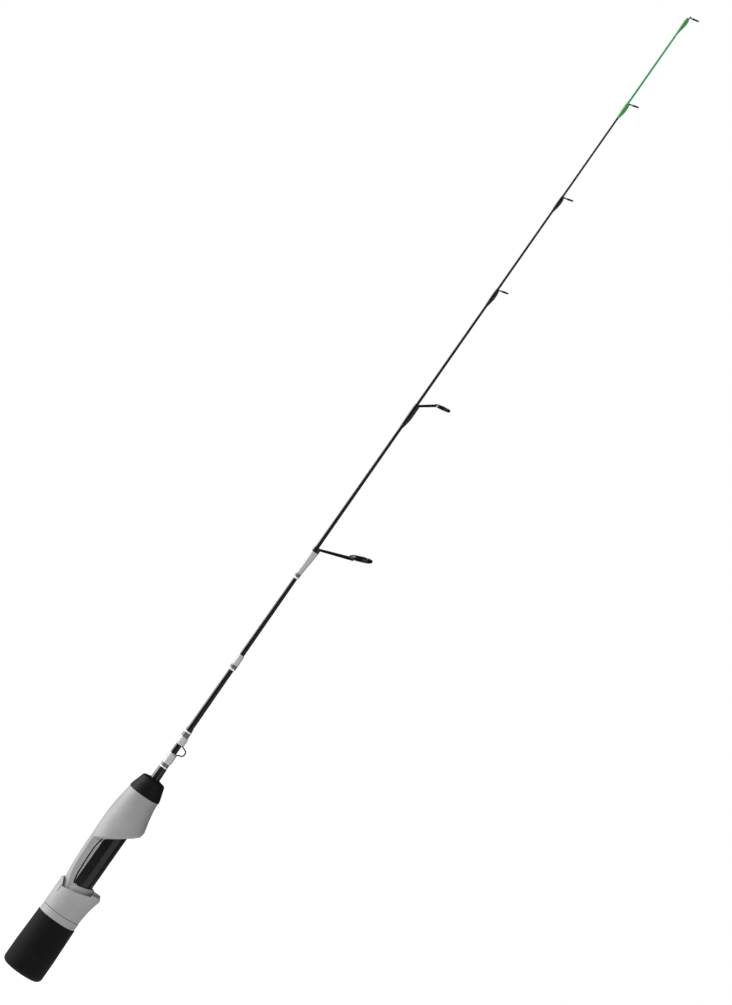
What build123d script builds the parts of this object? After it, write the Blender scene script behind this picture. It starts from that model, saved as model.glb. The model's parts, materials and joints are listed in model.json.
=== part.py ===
from build123d import *
import math
import os

# Ice fishing rod, millimetres.
# +Z runs along the rod from butt to tip, +X is the side of the reel and the guides,
# and the origin is the centre of the butt's flat end.

os.makedirs("parts", exist_ok=True)

# ---- handle
HANDLE_R = 12.2

# ---- blank: height along the rod and radius
BLANK_TAPER = [
    (20.0, 2.30),
    (139.0, 2.05),
    (160.0, 1.90),
    (203.0, 1.62),
    (277.0, 1.28),
    (356.0, 1.02),
    (421.0, 0.87),
    (503.0, 0.71),
    (612.5, 0.59),
]
TIP_TAPER = [(612.5, 0.63), (683.3, 0.59)]

# ---- butt grip and lock ring
GRIP_TOP = 37.8
GRIP_TOP_R = 12.6
GRIP_R = 13.25
GRIP_STRAIGHT_TOP = 14.0
GRIP_EDGE = 3.4
GRIP_FLOOR = 5.0
SLEEVE_R = 9.0
SLEEVE_BORE = 7.6
RING_TOP = 42.4
NUT_BOTTOM = 26.0
NECK_R = 9.2
BEAD_R = 9.9
BEAD_BOTTOM = 45.0
NECK_TOP = 46.1
RUN = 0.08
GAP = 0.3

# ---- barrel
BARREL_R = 6.7
BARREL_BORE = 5.2
BARREL_BOTTOM = 13.5
BARREL_TOP = 127.5
THREAD_PITCH = 2.5
THREAD_DEPTH = 0.45
THREAD_START = 17.5
THREAD_TURNS = 12
STOP_GROOVE_R = 6.2
STOP_BOTTOM = 14.7
STOP_TOP = 15.7
STOP_R = 7.3
KEY_WIDTH = 3.0
KEY_FLOOR = 5.75
KEY_BOTTOM = 35.5
KEY_TOP = 49.5

# ---- sliding hood
HOOD_BOTTOM = RING_TOP + GAP
FLANGE_TOP = BEAD_BOTTOM - GAP
WEB_BOTTOM = NECK_TOP + GAP
WEB_TOP = WEB_BOTTOM + 2.0
HOOD_BACK = 12.25
HOOD_LIP = 14.8
HOOD_LIP_Z = 60.0
HOOD_BORE_BACK = 10.65
HOOD_BORE_FRONT = 11.5
HOOD_BORE_SIDE = 10.8
RELIEF_SLOT = 0.6

# ---- seat body
COLLAR_R = 9.1
COLLAR_BOTTOM = 54.5
COLLAR_SLOPE = 0.26
COLLAR_Z = 62.2
SPINE_EDGE = 4.3
SPINE_ROUND = 1.2
SADDLE_Y = 5.5
GROOVE_Y = 1.5
GROOVE_WIDTH = 0.75
SKIRT_Z = 96.9
SKIRT_SLOPE = 0.70
SKIRT_EDGE = 1.4
LIP_CORNER = 12.4
POCKET_TOP = 116.0
SEAT_TOP = 127.8
HOOD_WALL = 1.7

# ---- thread wraps
BAND_COVER = 0.40
END_COVER = 0.06

# ---- keeper
WIRE_R = 0.40
KEEPER_REACH = 6.0


def turned(*points):
    """Solid of revolution about the rod's axis from (radius, height) corners."""
    outline = Polyline(*[(r, 0, z) for r, z in points], close=True)
    return revolve(make_face(outline), axis=Axis.Z)


def egg(z, back, front, half_width):
    """Oval section across the rod at height z, from x = -back to x = front."""
    return Pos((front - back) / 2, 0, z) * Ellipse((front + back) / 2, half_width)


def side_prism(*points, corner=0.0):
    """Prism right across the rod from an outline drawn in the side view as (x, z)."""
    corners = [(x, 0, z) for x, z in points]
    if corner > 0:
        outline = FilletPolyline(*corners, radius=corner, close=True)
    else:
        outline = Polyline(*corners, close=True)
    return extrude(make_face(outline), amount=40, dir=(0, 1, 0), both=True)


def taper_radius(taper, z):
    """Radius of a taper at height z."""
    for (z0, r0), (z1, r1) in zip(taper, taper[1:]):
        if z <= z1:
            return r0 + (r1 - r0) * (z - z0) / (z1 - z0)
    return taper[-1][1]


def rod_radius(z):
    """Radius of the bare rod at height z, on the blank or on the green tip."""
    if z < TIP_TAPER[0][0]:
        return taper_radius(BLANK_TAPER, z)
    return taper_radius(TIP_TAPER, z)


# ---------------------------------------------------------------- blank


def tapered(taper):
    """Solid round rod along a taper, with a flat face at each end."""
    sides = [(r, z) for z, r in taper]
    return turned((0, taper[0][0]), *sides, (0, taper[-1][0]))


# ---------------------------------------------------------------- handle


def butt_grip():
    """Moulded foam grip, closed at the butt and bored for the lock ring's sleeve."""
    start = (GRIP_R - GRIP_EDGE, 0, 0)
    shoulder = (GRIP_R, 0, GRIP_EDGE)
    bend = math.sqrt(0.5) * GRIP_EDGE
    rounded = ThreePointArc(start, (GRIP_R - GRIP_EDGE + bend, 0, GRIP_EDGE - bend), shoulder)
    rest = Polyline(
        shoulder,
        (GRIP_R, 0, GRIP_STRAIGHT_TOP),
        (GRIP_TOP_R, 0, GRIP_TOP - 0.4),
        (GRIP_TOP_R - 0.3, 0, GRIP_TOP),
        (SLEEVE_R, 0, GRIP_TOP),
        (SLEEVE_R, 0, GRIP_FLOOR),
        (0, 0, GRIP_FLOOR),
        (0, 0, 0),
        start,
    )
    return revolve(make_face([rounded, rest]), axis=Axis.Z)


def lock_ring():
    """Grey ring with a sleeve inside the grip, a nut on the barrel and a neck in the hood."""
    nut_bore = BARREL_R + RUN
    return turned(
        (SLEEVE_BORE, GRIP_FLOOR),
        (SLEEVE_R, GRIP_FLOOR),
        (SLEEVE_R, GRIP_TOP),
        (HANDLE_R, GRIP_TOP),
        (HANDLE_R, RING_TOP - 0.2),
        (HANDLE_R - 0.2, RING_TOP),
        (NECK_R, RING_TOP),
        (NECK_R, BEAD_BOTTOM),
        (BEAD_R, BEAD_BOTTOM),
        (BEAD_R, BEAD_BOTTOM + 0.4),
        (NECK_R, NECK_TOP),
        (nut_bore, NECK_TOP),
        (nut_bore, NUT_BOTTOM),
        (SLEEVE_BORE, NUT_BOTTOM),
    )


def seat_barrel():
    """Tube that carries the seat, with thread grooves, a stop groove and a keyway at the rear."""
    sides = [
        (BARREL_BORE, BARREL_BOTTOM),
        (BARREL_R - 0.3, BARREL_BOTTOM),
        (BARREL_R, BARREL_BOTTOM + 0.3),
        (BARREL_R, STOP_BOTTOM),
        (STOP_GROOVE_R, STOP_BOTTOM),
        (STOP_GROOVE_R, STOP_TOP),
        (BARREL_R, STOP_TOP),
    ]
    for turn in range(THREAD_TURNS):
        foot = THREAD_START + turn * THREAD_PITCH
        sides.append((BARREL_R, foot))
        sides.append((BARREL_R - THREAD_DEPTH, foot + 0.5))
        sides.append((BARREL_R - THREAD_DEPTH, foot + 1.0))
        sides.append((BARREL_R, foot + 1.5))
    sides.append((BARREL_R, BARREL_TOP))
    sides.append((BARREL_BORE, BARREL_TOP))
    keyway = Pos(-KEY_FLOOR - 2, 0, (KEY_BOTTOM + KEY_TOP) / 2) * Box(4, KEY_WIDTH, KEY_TOP - KEY_BOTTOM)
    return turned(*sides) - keyway


def stop_ring():
    """Split snap ring that keeps the nut from running off the rear of the barrel."""
    ring = turned(
        (STOP_GROOVE_R, STOP_BOTTOM),
        (STOP_R, STOP_BOTTOM),
        (STOP_R, STOP_TOP),
        (STOP_GROOVE_R, STOP_TOP),
    )
    split = Pos(STOP_R, 0, STOP_BOTTOM) * Box(4, 2.0, 4)
    return ring - split


def sliding_hood():
    """Rear hood that travels along the barrel, with a lip for the reel foot and a back tongue."""
    shell = loft(
        [
            egg(HOOD_BOTTOM, HOOD_BACK, 12.1, HANDLE_R),
            egg(49.8, HOOD_BACK, 12.6, HANDLE_R),
            egg(55.0, HOOD_BACK, 13.5, HANDLE_R),
            egg(HOOD_LIP_Z, HOOD_BACK, HOOD_LIP, HANDLE_R),
            egg(66.0, HOOD_BACK, 16.5, HANDLE_R),
        ]
    )
    above = side_prism(
        (-20, 60.0),
        (-12.2, 60.0),
        (-10.9, 61.2),
        (-8.6, 56.5),
        (8.95, 61.0),
        (8.7, 62.2),
        (13.2, 62.7),
        (HOOD_LIP, HOOD_LIP_Z),
        (20, 51.3),
        (20, 80),
        (-20, 80),
    )
    inside = egg(0, HOOD_BORE_BACK, HOOD_BORE_FRONT, HOOD_BORE_SIDE)
    bore = Pos(0, 0, WEB_TOP) * extrude(inside, amount=20)
    under_web = turned((0, FLANGE_TOP), (10.5, FLANGE_TOP), (10.5, WEB_BOTTOM), (0, WEB_BOTTOM))
    flange_bore = turned((0, 40), (NECK_R + 0.06, 40), (NECK_R + 0.06, FLANGE_TOP), (0, FLANGE_TOP))
    web_bore = turned((0, 40), (BARREL_R + RUN, 40), (BARREL_R + RUN, 60), (0, 60))
    hood = shell - above - bore - under_web - flange_bore - web_bore
    for side in (1, -1):
        slot = Rot(0, 0, side * 140) * Pos(11.6, 0, 55.5) * Box(3.4, RELIEF_SLOT, 6.0)
        hood -= slot
    key_reach = BARREL_R - KEY_FLOOR - 0.25
    key = Pos(-BARREL_R + key_reach / 2 - 0.5, 0, (WEB_BOTTOM + WEB_TOP) / 2)
    key *= Box(key_reach + 1.0, KEY_WIDTH - 0.2, WEB_TOP - WEB_BOTTOM)
    return hood + key


def spline_prism(curve, *points):
    """Prism right across the rod from a smooth curve closed by straight lines, as (x, z)."""
    smooth = Spline(*[(x, 0, z) for x, z in curve])
    corners = [curve[-1], *points, curve[0]]
    rest = Polyline(*[(x, 0, z) for x, z in corners])
    return extrude(make_face([smooth, rest]), amount=40, dir=(0, 1, 0), both=True)


def outside_of(half_width):
    """Everything further than half_width from the rod's middle plane, on both sides."""
    far = Pos(0, half_width + 20, 80) * Box(80, 40, 120)
    near = Pos(0, -half_width - 20, 80) * Box(80, 40, 120)
    return far + near


def seat_spine():
    """Back rib of the seat: rounded behind, with flanks that flare into the hood and the collar."""
    rib = turned(
        (0, COLLAR_BOTTOM),
        (9.9, COLLAR_BOTTOM),
        (10.1, 59.5),
        (10.9, 64.5),
        (11.3, 68.0),
        (11.8, 76.0),
        (12.1, 86.0),
        (12.1, 100.0),
        (0, 100.0),
    )
    flank = [
        (8.2, 50.0),
        (7.8, 58.0),
        (7.0, 63.5),
        (6.2, 70.0),
        (6.0, 78.0),
        (6.0, 88.0),
        (6.2, 100.0),
    ]
    right = Spline(*[(0, y, z) for y, z in flank])
    left = Spline(*[(0, -y, z) for y, z in flank])
    ends = [Line((0, -y, z), (0, y, z)) for y, z in (flank[0], flank[-1])]
    slab = extrude(make_face([right, left, *ends]), amount=14, dir=(-1, 0, 0))
    rib &= slab
    rib &= Pos(-10, 0, 80) * Box(20, 40, 80)
    boxes = [(edge, edge.bounding_box()) for edge in rib.edges()]
    backs = [edge for edge, box in boxes if box.size.Z > 4 and box.max.X < -6]
    return fillet(backs, SPINE_ROUND)


def saddle_edge(shift_x=0.0, shift_z=0.0):
    """Curved outline, in the side view, of the sunk saddle beside the barrel."""
    curve = [
        (-5.3, 93.2),
        (-6.3, 89.0),
        (-6.6, 83.0),
        (-6.4, 76.0),
        (-6.0, 69.5),
        (-5.4, 64.8),
        (-4.3, 61.9),
    ]
    shifted = [(x + shift_x, z + shift_z) for x, z in curve]
    return spline_prism(shifted, (2.0, 63.4), (2.0, 93.2))


def seat_collar():
    """Lower collar around the barrel, cut on a slant and chamfered."""
    collar = turned(
        (0, COLLAR_BOTTOM),
        (COLLAR_R - 0.8, COLLAR_BOTTOM),
        (COLLAR_R, COLLAR_BOTTOM + 0.8),
        (COLLAR_R, 70),
        (0, 70),
    )
    rise = COLLAR_SLOPE * 20
    collar -= side_prism((-20, COLLAR_Z - rise), (20, COLLAR_Z + rise), (20, 90), (-20, 90))
    return chamfer(collar.faces().sort_by(Axis.Z)[-1].edges(), 1.2)


def front_hood():
    """Fixed hood, round at the nose and flared toward the reel, cut on a slant."""
    shell = loft(
        [
            egg(SEAT_TOP, 10.0, 9.9, 9.95),
            egg(119.5, 11.2, 10.8, 11.0),
            egg(110.5, 12.1, 12.8, 11.9),
            egg(101.0, 12.3, 14.9, 12.2),
            egg(86.0, 12.2, 17.0, 12.2),
        ]
    )
    shell -= side_prism(
        (-30, SKIRT_Z - SKIRT_SLOPE * 30),
        (LIP_CORNER, SKIRT_Z + SKIRT_SLOPE * LIP_CORNER),
        (LIP_CORNER + 4.1, 113.5),
        (40, 150),
        (40, 40),
        (-30, 40),
        corner=3.0,
    )
    outside = shell.faces().sort_by(SortBy.AREA)[-1]
    rim = [edge for edge in outside.edges() if edge.bounding_box().max.Z < 120]
    return chamfer(rim, SKIRT_EDGE)


def seat_window():
    """Opening over the barrel, from the collar up into the front hood."""
    return side_prism(
        (-SPINE_EDGE, COLLAR_Z - COLLAR_SLOPE * SPINE_EDGE),
        (40, COLLAR_Z + COLLAR_SLOPE * 40),
        (40, POCKET_TOP),
        (0, POCKET_TOP),
        (0, 96.4),
        (-SPINE_EDGE, 93.4),
        corner=3.0,
    )


def seat_body():
    """Fixed grey body of the reel seat: front hood, spine and lower collar in one moulding."""
    window = seat_window()
    hollow = loft(
        [
            egg(POCKET_TOP, 11.2 - HOOD_WALL, 11.2 - HOOD_WALL, 11.2 - HOOD_WALL),
            egg(110.5, 12.1 - HOOD_WALL, 12.7 - HOOD_WALL, 11.9 - HOOD_WALL),
            egg(101.0, 12.3 - HOOD_WALL, 14.6 - HOOD_WALL, 12.2 - HOOD_WALL),
            egg(80.0, 12.2 - HOOD_WALL, 17.0 - HOOD_WALL, 12.2 - HOOD_WALL),
        ]
    )
    body = front_hood() - (hollow & window)
    sunk = saddle_edge() & outside_of(SADDLE_Y)
    groove = (saddle_edge() - saddle_edge(GROOVE_WIDTH, 0.2)) & outside_of(GROOVE_Y)
    body += (seat_spine() + seat_collar()) - window - sunk - groove
    bore = turned((0, 40), (BARREL_R, 40), (BARREL_R, 140), (0, 140))
    return body - bore


def nose_cap():
    """Black cap over the front of the seat, plugged into the barrel and bored for the blank."""
    bore = rod_radius(139.0)
    cap = turned(
        (0, 121.0),
        (BARREL_BORE, 121.0),
        (BARREL_BORE, BARREL_TOP),
        (BARREL_R, BARREL_TOP),
        (BARREL_R, SEAT_TOP),
        (10.0, SEAT_TOP),
        (10.2, 128.3),
        (9.85, 130.0),
        (9.25, 132.0),
        (8.6, 134.0),
        (7.9, 136.3),
        (7.5, 137.5),
        (7.0, 138.1),
        (bore + 0.9, 139.2),
        (0, 139.2),
    )
    return cap - tapered(BLANK_TAPER)


def arbor(bottom, top):
    """Bushing that centres the blank in the barrel."""
    ring = turned((0, bottom), (BARREL_BORE, bottom), (BARREL_BORE, top), (0, top))
    return ring - tapered(BLANK_TAPER)


# ---------------------------------------------------------------- thread


def wrap_section(z, cover, reach=0.0):
    """Oval section of a wrap: COVER over the rod all round, out to REACH on the guide side."""
    r = rod_radius(z) + cover
    return egg(z, r, max(r, reach), r)


def wrap(*stations):
    """Thread wrap lofted through (height, cover, reach) stations and hollowed over the rod."""
    sections = [wrap_section(*station) for station in stations]
    return loft(sections, ruled=True) - tapered(BLANK_TAPER) - tapered(TIP_TAPER)


def band(bottom, top, cover=BAND_COVER, soft_bottom=False, soft_top=False):
    """Narrow ring of trim thread, thinned at an outer end where asked."""
    stations = [(bottom, END_COVER if soft_bottom else cover), (top, END_COVER if soft_top else cover)]
    if soft_bottom:
        stations.insert(1, (bottom + 0.5, cover))
    if soft_top:
        stations.insert(-1, (top - 0.5, cover))
    return wrap(*stations)


def foot_wrap(bottom, top, cover, reach, full_from=0.52, full_to=0.72):
    """Lens-shaped wrap over a guide's foot, at its fullest between two shares of its length."""
    shares = [
        (0.0, 0.0),
        (full_from * 0.35, 0.42),
        (full_from * 0.7, 0.80),
        (full_from, 1.0),
        (full_to, 1.0),
        ((1 + full_to) / 2, 0.86),
        (1.0, 0.50),
    ]
    stations = []
    for along, full in shares:
        z = bottom + along * (top - bottom)
        r = rod_radius(z)
        thickness = END_COVER + full * (cover - END_COVER)
        stations.append((z, thickness, r + thickness + full * (reach - r - cover)))
    return wrap(*stations)


# ---------------------------------------------------------------- guides


def guide_plane(x, z, tilt):
    """Placement of a ring whose centre is at (x, z) and which leans toward the tip."""
    return Pos(x, 0, z) * Rot(0, -tilt, 0)


def guide_frame(guide, open_leg=False):
    """Single-foot frame: a foot along the blank, a bent leg and a flat eye."""
    bottom, top = guide["foot"]
    width, thick = guide["foot_size"]
    ring_x, ring_z, tilt = guide["ring"]
    plate, eye_r, leg_width = guide["plate"], guide["eye"], guide["leg"]
    lean = math.radians(tilt)
    base = rod_radius(bottom)
    foot = Polyline(
        (base, 0, bottom),
        (base + 0.12, 0, bottom),
        (base + thick, 0, (bottom + top) / 2),
        (base + thick, 0, top),
        (base, 0, top),
        close=True,
    )
    frame = extrude(make_face(foot), amount=width / 2, dir=(0, 1, 0), both=True)

    start_x, start_z = base + thick / 2, top - thick / 2
    inner, drop = eye_r - plate / 2, guide["drop"]
    end_x = ring_x - inner * math.cos(lean) + drop * math.sin(lean)
    end_z = ring_z - inner * math.sin(lean) - drop * math.cos(lean)
    length = math.hypot(end_x - start_x, end_z - start_z)
    angle = math.degrees(math.atan2(end_z - start_z, end_x - start_x))
    spread = length + 0.32 * eye_r
    outline = Polyline(
        (0, -width / 2), (spread, -leg_width / 2), (spread, leg_width / 2), (0, width / 2), close=True
    )
    leg = make_face(outline)
    if open_leg:
        strut = 1.25
        near = 0.28 * length
        half_near = (width + (leg_width - width) * near / spread) / 2 - strut
        half_far = leg_width / 2 - strut
        gap = Polyline(
            (near, -half_near),
            (spread + 1, -half_far),
            (spread + 1, half_far),
            (near, half_near),
            close=True,
        )
        leg -= make_face(gap)
    knee = Rot(90, 0, 0) * Cylinder(plate / 2, width)
    at_knee = Pos(start_x, 0, start_z)
    frame += at_knee * Rot(0, -angle, 0) * extrude(leg, amount=plate / 2, both=True)
    frame += at_knee * knee
    eye = guide_plane(*guide["ring"]) * Cylinder(eye_r, guide["rim"])
    hole = guide_plane(*guide["ring"]) * Cylinder(guide["seat"], 6)
    return frame + eye - hole - tapered(BLANK_TAPER) - tapered(TIP_TAPER)


def insert_ring(ring, bore_r, seat_r, height):
    """Polished insert with rounded edges that lines a guide's eye."""
    width = seat_r - bore_r
    section = Plane.XZ * Pos(bore_r + width / 2, 0) * RectangleRounded(width, height, width * 0.42)
    return guide_plane(*ring) * revolve(section, axis=Axis.Z)


SMALL_EYE = dict(eye=2.45, seat=1.95, bore=1.45, rim=0.85, insert=0.98, plate=0.70, leg=2.2, drop=0.0)
# Each guide: foot from and to, foot width and thickness, ring (x, z, tilt), then eye radius, radius of
# the insert's seat and bore, rim and insert height, leg plate and width, and how far the leg meets
# the eye below its middle plane.
GUIDES = {
    1: dict(foot=(289.0, 305.3), foot_size=(1.9, 0.80), ring=(25.0, 314.6, 21.5),
            eye=6.95, seat=5.95, bore=4.95, rim=1.45, insert=2.5, plate=1.40, leg=9.4, drop=1.0),
    2: dict(foot=(393.8, 408.0), foot_size=(1.5, 0.70), ring=(13.5, 414.7, 10.6),
            eye=4.75, seat=3.95, bore=3.2, rim=1.40, insert=1.8, plate=1.40, leg=4.4, drop=0.2),
    3: dict(foot=(480.6, 490.3), foot_size=(1.2, 0.50), ring=(4.18, 491.0, 15.6), **SMALL_EYE),
    4: dict(foot=(548.0, 556.5), foot_size=(1.1, 0.50), ring=(4.20, 557.0, 15.6), **SMALL_EYE),
    5: dict(foot=(614.2, 622.9), foot_size=(1.1, 0.50), ring=(4.30, 623.6, 15.6), **SMALL_EYE),
}
TIP_TOP = dict(foot=(675.0, 684.9), foot_size=(1.1, 0.70), ring=(4.15, 684.8, 13.0), **SMALL_EYE)


def ring_of(guide):
    """Insert of one guide from its entry in the table."""
    return insert_ring(guide["ring"], guide["bore"], guide["seat"], guide["insert"])


def hook_keeper():
    """Bent wire eye whose two legs lie on the blank under the keeper wraps."""
    lay = rod_radius(152.0) + WIRE_R
    path = FilletPolyline(
        (lay, 0, 152.0),
        (lay, 0, 157.8),
        (KEEPER_REACH - 0.7, 0, 158.9),
        (KEEPER_REACH, 0, 159.9),
        (KEEPER_REACH, 0, 161.6),
        (KEEPER_REACH - 0.6, 0, 162.6),
        (lay, 0, 163.8),
        (lay, 0, 168.6),
        radius=0.5,
    )
    return sweep(Plane(origin=path @ 0, z_dir=path % 0) * Circle(WIRE_R), path=path)


# ---------------------------------------------------------------- assembly

nodes = {}
nodes["blank"] = tapered(BLANK_TAPER)
nodes["blank_tip"] = tapered(TIP_TAPER)
nodes["seat_barrel"] = seat_barrel()
nodes["stop_ring"] = stop_ring()
nodes["seat_body"] = seat_body()
nodes["nose_cap"] = nose_cap()
nodes["arbor_rear"] = arbor(22.0, 34.0)
nodes["arbor_front"] = arbor(106.0, 118.0)
nodes["sliding_hood"] = sliding_hood()
nodes["lock_ring"] = lock_ring()
nodes["butt_grip"] = butt_grip()

keeper = hook_keeper()
nodes["hook_keeper"] = keeper
nodes["base_wrap"] = wrap((139.2, 0.85), (147.3, 0.62))
lower_wrap = wrap((150.3, 0.50), (151.5, 0.50, 2.9), (156.6, 0.50, 2.9), (157.6, END_COVER))
upper_wrap = wrap((164.0, END_COVER), (165.0, 0.50, 2.9), (168.6, 0.50, 2.85), (169.3, 0.48))
nodes["keeper_wrap_lower"] = lower_wrap - keeper
nodes["keeper_wrap_upper"] = upper_wrap - keeper
nodes["keeper_end_wrap"] = wrap((173.4, BAND_COVER), (174.6, 0.25), (175.6, END_COVER))
nodes["accent_wrap"] = wrap((221.1, 0.48), (222.4, 0.52), (227.0, 0.52), (228.2, END_COVER))
nodes["trim_bands_dark"] = Part() + [
    band(148.2, 150.3, 0.50),
    band(169.3, 172.4, 0.48),
    band(218.8, 221.1, 0.48),
    band(284.6, 286.8, 0.42),
]
nodes["trim_bands_light"] = Part() + [
    band(147.3, 148.2, 0.50),
    band(172.4, 173.4, 0.48),
    band(217.6, 218.8, 0.48, soft_bottom=True),
    band(283.4, 284.6, 0.42, soft_bottom=True),
]

frames = {number: guide_frame(guide, open_leg=(number == 1)) for number, guide in GUIDES.items()}
for number, guide in GUIDES.items():
    nodes[f"guide_frame_{number}"] = frames[number]
    nodes[f"guide_ring_{number}"] = ring_of(guide)

silver = wrap((286.8, 0.42), (291.9, 0.42, 2.05), (296.0, 0.42, 2.45), (302.5, 0.46, 2.8))
black_end = wrap((302.5, 0.46, 2.8), (304.5, 0.46, 2.85), (305.7, 0.18, 2.4))
nodes["guide_wrap_1"] = silver - frames[1]
nodes["guide_end_wrap_1"] = black_end - frames[1]
nodes["guide_wrap_2"] = foot_wrap(391.5, 407.8, 0.32, 2.20, full_from=0.45, full_to=0.92) - frames[2]
nodes["guide_wrap_3"] = foot_wrap(478.6, 490.0, 0.34, 1.74) - frames[3]
nodes["guide_wrap_4"] = foot_wrap(545.9, 556.4, 0.30, 1.65) - frames[4]
nodes["guide_wrap_5"] = foot_wrap(612.5, 622.7, 0.34, 1.68) - frames[5]

tip_frame = guide_frame(TIP_TOP)
nodes["tip_top_frame"] = tip_frame
nodes["tip_top_ring"] = ring_of(TIP_TOP)
nodes["tip_wrap"] = foot_wrap(673.0, 682.9, 0.20, 1.72, full_from=0.70, full_to=0.86) - tip_frame

for name, shape in nodes.items():
    export_step(shape, f"parts/{name}.step")
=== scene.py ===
import json
import math

import bpy
from mathutils import Matrix, Vector


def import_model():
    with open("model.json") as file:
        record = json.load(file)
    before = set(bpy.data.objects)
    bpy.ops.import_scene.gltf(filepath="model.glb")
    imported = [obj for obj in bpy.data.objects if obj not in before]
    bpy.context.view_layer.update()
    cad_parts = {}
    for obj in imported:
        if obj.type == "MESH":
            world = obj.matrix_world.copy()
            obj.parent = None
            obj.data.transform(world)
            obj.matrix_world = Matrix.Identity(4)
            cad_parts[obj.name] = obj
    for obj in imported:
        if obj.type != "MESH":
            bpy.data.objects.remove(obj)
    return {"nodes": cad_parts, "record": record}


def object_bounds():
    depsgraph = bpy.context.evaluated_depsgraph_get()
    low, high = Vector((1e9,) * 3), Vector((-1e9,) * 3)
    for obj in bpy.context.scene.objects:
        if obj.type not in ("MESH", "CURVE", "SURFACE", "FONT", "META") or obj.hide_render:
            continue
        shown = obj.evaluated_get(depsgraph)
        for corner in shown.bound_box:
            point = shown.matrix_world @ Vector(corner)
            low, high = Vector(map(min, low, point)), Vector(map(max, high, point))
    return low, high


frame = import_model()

cad_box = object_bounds()
MM = 0.001
TUBE_RADIUS = 6.7 * MM          # outside of the seat barrel
TOW = 1.0 * MM                  # width of one strand of the barrel's weave
TAPE_PITCH = 1.4 * MM           # spiral left on the blank by its rolling tape

FLOOR_HEIGHT = -11.0 * MM       # just below the hood's and the grip's lowest travel
FLOOR_RADIUS = 0.60

CAMERA_REACH = 6.0
CAMERA_ABOVE = math.radians(5.2)
CAMERA_ROLL = math.radians(35.0)
CAMERA_SHIFT = Vector((-0.9 * MM, 0.0, 0.75 * MM))
FRAME_HEIGHT = 0.5878           # height of the picture at the rod
SENSOR = 36.0


# ---------------------------------------------------------------- node helpers

class Shader:
    """A material's node tree, with short calls for the nodes used here."""

    def __init__(self, name):
        self.mat = bpy.data.materials.new(name)
        self.mat.use_nodes = True
        self.tree = self.mat.node_tree
        self.bsdf = self.tree.nodes["Principled BSDF"]
        self.where = self.node("TexCoord").outputs["Object"]
        self.x, self.y, self.z = self.split(self.where)
        self.turn = self.math("DIVIDE", self.math("ARCTAN2", self.y, self.x), 2 * math.pi)

    def node(self, kind, **settings):
        made = self.tree.nodes.new("ShaderNode" + kind)
        for key, value in settings.items():
            setattr(made, key, value)
        return made

    def link(self, source, target):
        self.tree.links.new(source, target)

    def place(self, socket, value):
        """Set a socket to a number or an RGB colour, or join it to another socket."""
        if isinstance(value, tuple):
            socket.default_value = (*value, 1.0)
        elif isinstance(value, (int, float)):
            socket.default_value = value
        else:
            self.link(value, socket)

    def split(self, vector):
        made = self.node("SeparateXYZ")
        self.link(vector, made.inputs[0])
        return made.outputs[0], made.outputs[1], made.outputs[2]

    def join(self, x, y, z):
        made = self.node("CombineXYZ")
        for socket, value in zip(made.inputs, (x, y, z)):
            self.place(socket, value)
        return made.outputs[0]

    def math(self, operation, a, b=0.0):
        made = self.node("Math", operation=operation)
        self.place(made.inputs[0], a)
        self.place(made.inputs[1], b)
        return made.outputs[0]

    def noise(self, vector, per_metre, detail=3.0):
        made = self.node("TexNoise")
        made.inputs["Scale"].default_value = per_metre
        made.inputs["Detail"].default_value = detail
        self.link(vector, made.inputs["Vector"])
        return made.outputs[0]

    def cells(self, per_metre):
        made = self.node("TexVoronoi")
        made.inputs["Scale"].default_value = per_metre
        self.link(self.where, made.inputs["Vector"])
        return made.outputs["Distance"]

    def spread(self, value, low, high, start=0.0, end=1.0):
        """Carry the value's range from start to end onto the range from low to high."""
        made = self.node("MapRange")
        self.place(made.inputs["Value"], value)
        made.inputs["From Min"].default_value = start
        made.inputs["From Max"].default_value = end
        made.inputs["To Min"].default_value = low
        made.inputs["To Max"].default_value = high
        return made.outputs[0]

    def blend(self, factor, a, b):
        """Colour between a and b."""
        made = self.node("Mix", data_type="RGBA")
        self.place(made.inputs[0], factor)
        self.place(made.inputs[6], a)
        self.place(made.inputs[7], b)
        return made.outputs[2]

    def bump(self, height, depth, strength=1.0, under=None):
        made = self.node("Bump")
        made.inputs["Strength"].default_value = strength
        made.inputs["Distance"].default_value = depth
        self.link(height, made.inputs["Height"])
        if under is not None:
            self.link(under, made.inputs["Normal"])
        return made.outputs[0]

    def soft_edges(self, radius):
        made = self.node("Bevel", samples=6)
        made.inputs["Radius"].default_value = radius
        return made.outputs[0]

    def edge_mask(self, radius, start=0.004, end=0.10):
        """1 on edges and 0 on open faces, from how far a softened normal leaves the true one."""
        near = self.node("VectorMath", operation="DOT_PRODUCT")
        self.link(self.soft_edges(radius), near.inputs[0])
        self.link(self.node("NewGeometry").outputs["Normal"], near.inputs[1])
        return self.spread(self.math("SUBTRACT", 1.0, near.outputs["Value"]), 0.0, 1.0, start, end)

    def spiral(self, pitch):
        """Turns of a line wound round the rod at this pitch, as a number that grows along it."""
        return self.math("ADD", self.math("DIVIDE", self.z, pitch), self.turn)

    def set(self, **values):
        for key, value in values.items():
            self.place(self.bsdf.inputs[key.replace("_", " ")], value)


# ---------------------------------------------------------------- materials

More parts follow.
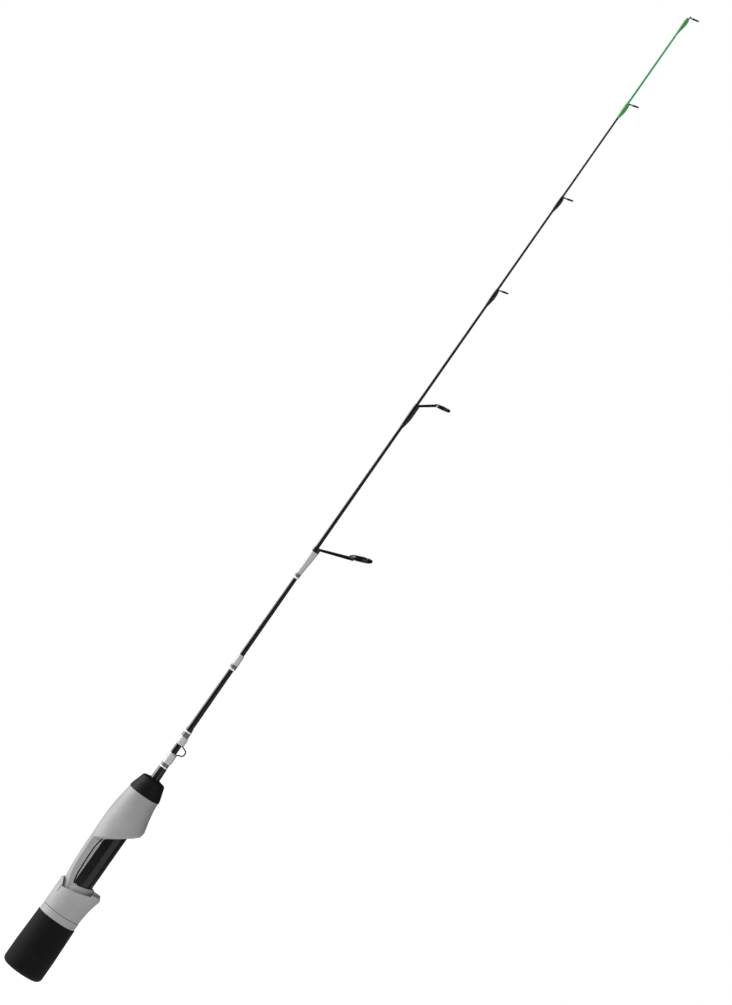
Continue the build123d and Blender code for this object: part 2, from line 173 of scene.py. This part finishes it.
def soft_plastic():
    """Matt grey plastic with a fine grain, a little paler along its edges: partly scuffing, partly a
    painted highlight.
    """
    s = Shader("grey_soft_plastic")
    grain = s.noise(s.where, 5200, 4.0)
    cloud = s.noise(s.where, 60, 2.0)
    edge_wear_and_highlight = s.edge_mask(0.45 * MM)
    base = s.blend(s.spread(cloud, 0, 1, 0.35, 0.65), (0.275, 0.269, 0.271), (0.307, 0.301, 0.303))
    specked = s.blend(s.spread(grain, 0, 0.35, 0.45, 0.7), base, (0.234, 0.229, 0.232))
    s.set(
        # Edges painted paler: partly scuffing, partly a painted highlight on the rounded edges.
        Base_Color=s.blend(s.math("MULTIPLY", edge_wear_and_highlight, 0.30), specked, (0.46, 0.455, 0.457)),
        Roughness=s.math("SUBTRACT", s.spread(grain, 0.46, 0.60), s.math("MULTIPLY", edge_wear_and_highlight, 0.10)),
        Specular_IOR_Level=0.35,
        Normal=s.bump(grain, 0.035 * MM, 0.55, s.soft_edges(0.35 * MM)),
    )
    return s.mat


def foam():
    """Black closed-cell foam with small open pores."""
    s = Shader("black_foam")
    pores = s.cells(2100)
    fine = s.noise(s.where, 5200)
    cloud = s.noise(s.where, 130)
    height = s.math("ADD", s.spread(pores, 0, 1, 0.0, 0.55), s.math("MULTIPLY", fine, 0.5))
    tone = s.blend(s.spread(cloud, 0, 1, 0.3, 0.7), (0.0015, 0.0015, 0.0016), (0.0028, 0.0028, 0.0030))
    s.set(
        # Pore centres painted darker than the surface: painted shade inside the pores.
        Base_Color=s.blend(s.spread(pores, 0.6, 0, 0.0, 0.28), tone, (0.001, 0.001, 0.001)),
        Roughness=s.spread(fine, 0.66, 0.86),
        Specular_IOR_Level=0.17,
        Normal=s.bump(height, 0.09 * MM, 0.6, s.soft_edges(0.5 * MM)),
    )
    return s.mat


def rubber_cap():
    """Black rubbery plastic, paler on its edges: partly rubbed, partly a painted highlight."""
    s = Shader("black_rubber")
    grain = s.noise(s.where, 4200, 4.0)
    cloud = s.noise(s.where, 90, 2.0)
    edge_wear_and_highlight = s.edge_mask(0.4 * MM)
    tone = s.blend(s.spread(cloud, 0, 1, 0.35, 0.65), (0.0040, 0.0040, 0.0042), (0.0066, 0.0066, 0.0069))
    s.set(
        # Edges painted paler: partly rubbed, partly a painted highlight.
        Base_Color=s.blend(s.math("MULTIPLY", edge_wear_and_highlight, 0.4), tone, (0.022, 0.022, 0.0225)),
        Roughness=s.spread(grain, 0.52, 0.70),
        Specular_IOR_Level=0.18,
        Normal=s.bump(grain, 0.03 * MM, 0.5, s.soft_edges(0.35 * MM)),
    )
    return s.mat


def dark_tube():
    """Polished fibre tube: a quiet two-by-two twill under clear resin."""
    s = Shader("fibre_tube")
    across = s.math("DIVIDE", s.math("MULTIPLY", s.turn, 2 * math.pi * TUBE_RADIUS), TOW)
    along = s.math("DIVIDE", s.z, TOW)
    step = s.math("ADD", s.math("FLOOR", across), s.math("FLOOR", along))
    over = s.math("LESS_THAN", s.math("FLOORED_MODULO", step, 4.0), 2.0)
    under = s.math("SUBTRACT", 1.0, over)
    crown = s.math(
        "ADD",
        s.math("MULTIPLY", over, s.math("PINGPONG", across, 0.5)),
        s.math("MULTIPLY", under, s.math("PINGPONG", along, 0.5)),
    )
    lengthwise = s.join(s.math("MULTIPLY", across, 9.0), s.math("MULTIPLY", along, 0.7), 0.0)
    strands = s.noise(lengthwise, 1.0, 2.0)
    cloud = s.noise(s.where, 230, 2.0)
    tone = s.blend(over, (0.0015, 0.0015, 0.0017), (0.0038, 0.0038, 0.0042))
    blotched = s.blend(s.spread(cloud, 0, 0.8, 0.52, 0.72), tone, (0.0080, 0.0080, 0.0084))
    s.set(
        Base_Color=s.blend(s.spread(strands, 0, 0.3, 0.3, 0.7), blotched, (0.008, 0.008, 0.0085)),
        Roughness=s.spread(crown, 0.40, 0.30, 0.0, 0.5),
        Specular_IOR_Level=0.12,
        Coat_Weight=0.8,
        Coat_Roughness=0.09,
        Normal=s.bump(crown, 0.03 * MM, 0.4),
    )
    return s.mat


def lacquer(name, tone, dark, rough=0.16, coat=0.5, specular=0.2):
    """Gloss lacquer over the fine spiral left by the tape that a rod is rolled in."""
    s = Shader(name)
    ridge = s.math("PINGPONG", s.spiral(TAPE_PITCH), 0.5)
    cloud = s.noise(s.where, 420)
    fine = s.noise(s.where, 6500, 2.0)
    s.set(
        Base_Color=s.blend(s.math("MULTIPLY", ridge, s.spread(cloud, 0.4, 1.6)), tone, dark),
        Roughness=s.spread(cloud, rough, rough + 0.14),
        Specular_IOR_Level=specular,
        Coat_Weight=coat,
        Coat_Roughness=0.06,
        Normal=s.bump(s.math("ADD", ridge, s.math("MULTIPLY", fine, 0.3)), 0.012 * MM, 0.6),
    )
    return s.mat


def wound_thread(name, tone, deep, pitch=0.21, metal=0.0, specular=0.3):
    """Thread laid turn by turn, seen through clear epoxy."""
    s = Shader(name)
    lay = s.spiral(pitch * MM)
    strand = s.math("PINGPONG", lay, 0.5)
    patches = s.noise(s.join(s.math("MULTIPLY", s.turn, 60.0), s.math("FLOOR", lay), 0.0), 1.0, 2.0)
    cloud = s.noise(s.where, 700, 2.0)
    # Darker lines between the turns of thread: painted shade in the grooves between turns.
    shade = s.blend(s.spread(strand, 0.9, 0.0, 0.0, 0.22), tone, deep)
    s.set(
        Base_Color=s.blend(s.spread(patches, 0, 0.3, 0.5, 0.8), shade, deep),
        Metallic=metal,
        Roughness=s.spread(cloud, 0.32, 0.48),
        Specular_IOR_Level=specular,
        Coat_Weight=0.7,
        Coat_Roughness=0.07,
        Normal=s.bump(strand, 0.05 * MM, 0.55),
    )
    return s.mat


def painted_metal():
    """Black gloss paint on thin metal, brighter in patches on the sharpest edges: partly rubbed-off paint,
    partly a painted highlight.
    """
    s = Shader("black_guide_metal")
    fine = s.noise(s.where, 7000)
    cloud = s.noise(s.where, 500, 2.0)
    edge_wear_and_highlight = s.edge_mask(0.12 * MM, 0.02, 0.25)
    patchy_wear_and_highlight = s.math("MULTIPLY", edge_wear_and_highlight, s.spread(cloud, 0.0, 0.4))
    s.set(
        # Sharp edges painted brighter in patches: partly rubbed-off paint, partly a painted highlight.
        Base_Color=s.blend(patchy_wear_and_highlight, (0.0045, 0.0045, 0.0050), (0.045, 0.045, 0.047)),
        Roughness=s.spread(cloud, 0.22, 0.38),
        Specular_IOR_Level=0.35,
        Coat_Weight=0.5,
        Coat_Roughness=0.12,
        Normal=s.bump(fine, 0.008 * MM, 0.5, s.soft_edges(0.10 * MM)),
    )
    return s.mat


def ceramic():
    """Polished black ceramic of the guides' inserts."""
    s = Shader("black_ceramic")
    cloud = s.noise(s.where, 900, 2.0)
    fine = s.noise(s.where, 9000, 2.0)
    s.set(
        Base_Color=s.blend(s.spread(cloud, 0, 1, 0.3, 0.7), (0.006, 0.006, 0.0065), (0.013, 0.013, 0.014)),
        Roughness=s.spread(cloud, 0.08, 0.18),
        IOR=1.8,
        Normal=s.bump(fine, 0.003 * MM, 0.4),
    )
    return s.mat


def spring_steel():
    s = Shader("spring_steel")
    fine = s.noise(s.where, 4000)
    s.set(
        Base_Color=s.blend(fine, (0.32, 0.32, 0.33), (0.45, 0.45, 0.46)),
        Metallic=1.0,
        Roughness=s.spread(fine, 0.25, 0.45),
    )
    return s.mat


def foam_bushing():
    s = Shader("foam_bushing")
    pores = s.cells(1500)
    s.set(
        Base_Color=s.blend(pores, (0.62, 0.61, 0.57), (0.45, 0.44, 0.41)),
        Roughness=s.spread(pores, 0.8, 0.95),
        Normal=s.bump(pores, 0.1 * MM, 0.6),
    )
    return s.mat


BLACK_METAL = painted_metal()
FINISH = {
    "black_blank": lacquer("black_lacquer", (0.0050, 0.0050, 0.0055), (0.0090, 0.0090, 0.0095)),
    "green_tip": lacquer("green_lacquer", (0.010, 0.36, 0.105), (0.007, 0.27, 0.078), rough=0.24),
    "dark_tube": dark_tube(),
    "spring_steel": spring_steel(),
    "grey_seat": soft_plastic(),
    "black_cap": rubber_cap(),
    "arbor": foam_bushing(),
    "keeper_wire": BLACK_METAL,
    "guide_frame": BLACK_METAL,
    "guide_insert": ceramic(),
    "black_foam": foam(),
    "black_thread": wound_thread("black_thread", (0.006, 0.006, 0.0065), (0.002, 0.002, 0.002), pitch=0.16),
    "silver_thread": wound_thread("silver_thread", (0.50, 0.50, 0.505), (0.37, 0.37, 0.375), metal=0.1),
    "dark_band": wound_thread("grey_band_thread", (0.125, 0.125, 0.128), (0.05, 0.05, 0.05)),
    "light_band": wound_thread("light_band_thread", (0.80, 0.80, 0.81), (0.55, 0.55, 0.56), metal=0.2),
    "green_thread": wound_thread("green_thread", (0.058, 0.35, 0.070), (0.028, 0.20, 0.035), pitch=0.14),
}

for entry in frame["record"]["subparts"]:
    node = frame["nodes"][entry["node"]]
    node.data.materials.clear()
    node.data.materials.append(FINISH[entry["material_slot"]])


# ---------------------------------------------------------------- floor, light and camera

low, high = (Vector(corner) for corner in cad_box)
middle = (low + high) / 2


def floor():
    """Pale floor under the rod, fading out at its rim."""
    mesh = bpy.data.meshes.new("floor")
    count = 96
    angles = [2 * math.pi * i / count for i in range(count)]
    rim = [(FLOOR_RADIUS * math.cos(a), FLOOR_RADIUS * math.sin(a), FLOOR_HEIGHT) for a in angles]
    mesh.from_pydata(rim, [], [list(range(count))])
    obj = bpy.data.objects.new("floor", mesh)
    bpy.context.collection.objects.link(obj)
    s = Shader("pale_floor")
    reach = s.math("SQRT", s.math("ADD", s.math("MULTIPLY", s.x, s.x), s.math("MULTIPLY", s.y, s.y)))
    speck = s.noise(s.where, 300, 2.0)
    s.set(
        Base_Color=s.blend(speck, (0.86, 0.86, 0.86), (0.90, 0.90, 0.90)),
        Roughness=0.9,
        Specular_IOR_Level=0.1,
        Emission_Color=(1.0, 1.0, 1.0),
        Emission_Strength=0.6,
        Alpha=s.spread(reach, 1.0, 0.0, 0.5 * FLOOR_RADIUS, 0.98 * FLOOR_RADIUS),
    )
    mesh.materials.append(s.mat)


def panel(name, bearing, lift, distance, width, height, power, in_gloss=True):
    """Soft panel light aimed at the rod: bearing from the camera's side, positive to the right."""
    data = bpy.data.lights.new(name, "AREA")
    data.shape = "RECTANGLE"
    data.size = width
    data.size_y = height
    data.energy = power
    obj = bpy.data.objects.new(name, data)
    bpy.context.collection.objects.link(obj)
    turn, rise = math.radians(bearing), math.radians(lift)
    toward = Vector((math.sin(turn) * math.cos(rise), -math.cos(turn) * math.cos(rise), math.sin(rise)))
    obj.location = middle + distance * toward
    obj.rotation_mode = "QUATERNION"
    obj.rotation_quaternion = toward.to_track_quat("Z", "Y")
    obj.visible_glossy = in_gloss


def world():
    """White where the camera sees it, soft for diffuse light and dim in reflections."""
    made = bpy.data.worlds.new("studio")
    bpy.context.scene.world = made
    made.use_nodes = True
    tree = made.node_tree
    ray = tree.nodes.new("ShaderNodeLightPath")
    result = tree.nodes["Background"].outputs[0]
    tree.nodes["Background"].inputs["Color"].default_value = (1.0, 1.0, 1.0, 1.0)
    tree.nodes["Background"].inputs["Strength"].default_value = 0.13
    for kind, strength in (("Is Glossy Ray", 0.03), ("Is Camera Ray", 1.0)):
        other = tree.nodes.new("ShaderNodeBackground")
        other.inputs["Strength"].default_value = strength
        other.inputs["Color"].default_value = (1.0, 1.0, 1.0, 1.0)
        mixed = tree.nodes.new("ShaderNodeMixShader")
        tree.links.new(ray.outputs[kind], mixed.inputs[0])
        tree.links.new(result, mixed.inputs[1])
        tree.links.new(other.outputs[0], mixed.inputs[2])
        result = mixed.outputs[0]
    tree.links.new(result, tree.nodes["World Output"].inputs["Surface"])


def lights():
    panel("key_left", bearing=-98, lift=4, distance=1.7, width=1.2, height=1.5, power=43)
    panel("front_fill", bearing=-16, lift=30, distance=2.2, width=1.6, height=1.4, power=27, in_gloss=False)
    panel("right_sheen", bearing=46, lift=4, distance=1.2, width=1.5, height=1.6, power=4.4)


def camera():
    """Long lens square to the rod's side, rolled so that the rod runs up to the right."""
    forward = Vector((0.0, math.cos(CAMERA_ABOVE), -math.sin(CAMERA_ABOVE)))
    level = Vector((1.0, 0.0, 0.0))
    up = Vector((0.0, math.sin(CAMERA_ABOVE), math.cos(CAMERA_ABOVE)))
    right = math.cos(CAMERA_ROLL) * level + math.sin(CAMERA_ROLL) * up
    top = -math.sin(CAMERA_ROLL) * level + math.cos(CAMERA_ROLL) * up
    data = bpy.data.cameras.new("camera")
    data.sensor_width = SENSOR
    data.lens = SENSOR * CAMERA_REACH / FRAME_HEIGHT
    data.clip_start, data.clip_end = 0.05, 50.0
    obj = bpy.data.objects.new("camera", data)
    bpy.context.collection.objects.link(obj)
    turn = Matrix((right, top, -forward)).transposed()
    place = middle + CAMERA_SHIFT - forward * CAMERA_REACH
    obj.matrix_world = Matrix.Translation(place) @ turn.to_4x4()
    bpy.context.scene.camera = obj


floor()
world()
lights()
camera()
bpy.context.scene.view_settings.view_transform = "Standard"
bpy.context.scene.view_settings.look = "None"
